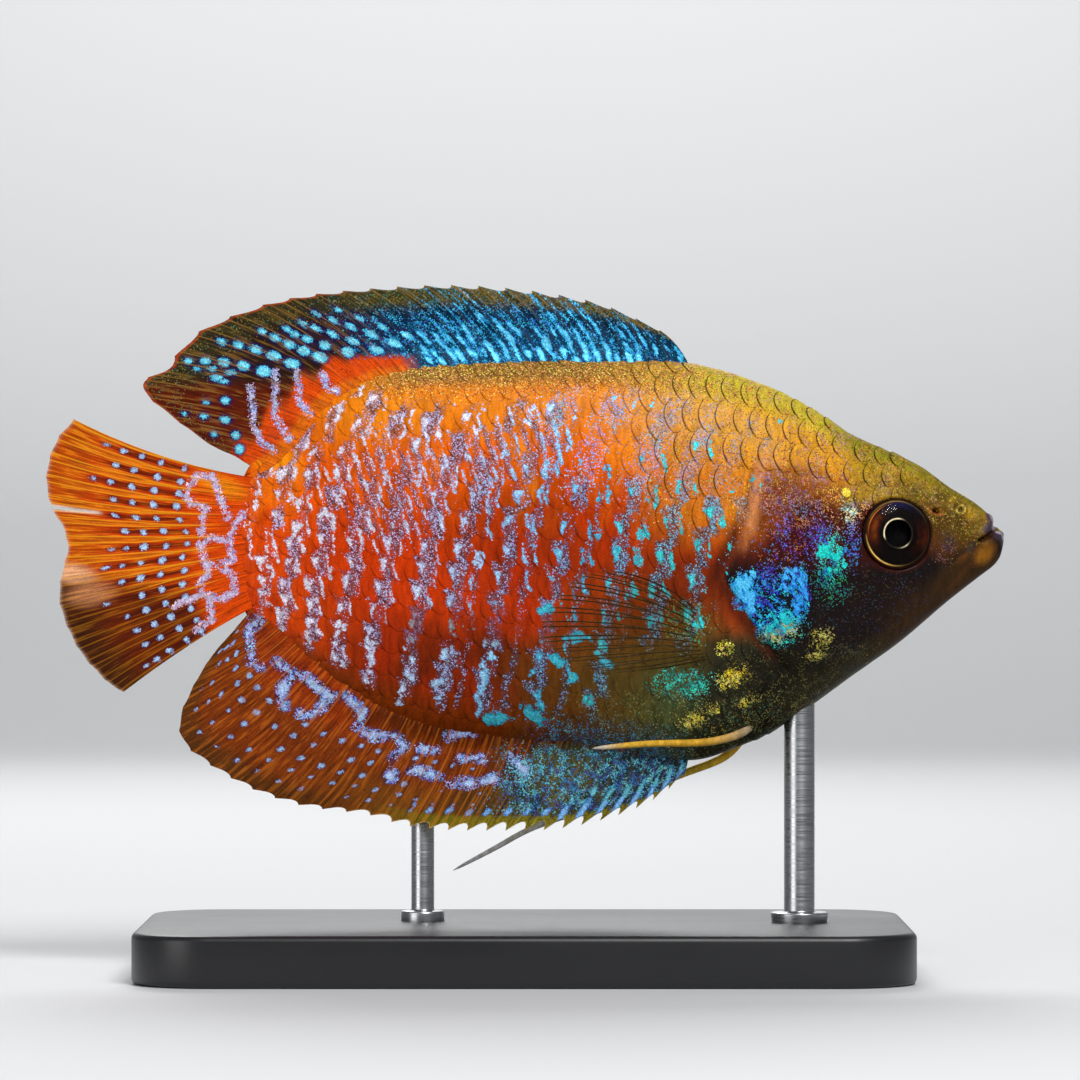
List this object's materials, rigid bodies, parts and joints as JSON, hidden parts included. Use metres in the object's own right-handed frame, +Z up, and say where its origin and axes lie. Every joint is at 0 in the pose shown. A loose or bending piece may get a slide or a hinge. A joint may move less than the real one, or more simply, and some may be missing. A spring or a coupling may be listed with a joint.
{
  "type": "dwarf gourami",
  "caption": "Still life-size model of a male dwarf gourami, a deep thin-bodied aquarium fish with long fins and thread-like pelvic fins, held over a flat base by slim rods",
  "frame": {"origin": "centre of the box that holds the whole model, on the underside of the stand's base", "axes": "+X from tail to snout, +Z up, Y across the fish, so its right side faces -Y"},
  "size_m": [0.075, 0.036, 0.0539],
  "materials": {
    "head_skin": "wet skin, olive gold above and dark brown below",
    "gill_cover": "wet skin with blue-green gloss",
    "flank_skin": "wet scaled skin, red-orange with pale blue spots",
    "dorsal_fin": "wet membrane, blue with an olive edge",
    "anal_fin": "wet membrane, orange brown and dark teal",
    "caudal_fin": "wet membrane, orange with golden rays",
    "pectoral_fin": "clear membrane with dark rays",
    "feeler": "pale yellow thread",
    "eye": "wet dark eye with a gold ring",
    "stand_base": "satin black",
    "stand_rod": "fine brushed"
  },
  "bodies": {
    "root": {"head": "head_skin", "lower_jaw": "head_skin", "gill_cover_right": "gill_cover", "gill_cover_left": "gill_cover", "torso": "flank_skin", "tail_stem": "flank_skin", "dorsal_fin": "dorsal_fin", "anal_fin": "anal_fin", "caudal_fin": "caudal_fin", "pectoral_fin_right": "pectoral_fin", "pectoral_fin_left": "pectoral_fin", "pelvic_feeler_right": "feeler", "pelvic_feeler_left": "feeler", "eye_right": "eye", "eye_left": "eye", "stand_base": "stand_base", "stand_rod_front": "stand_rod", "stand_rod_rear": "stand_rod"}
  },
  "joints": []
}
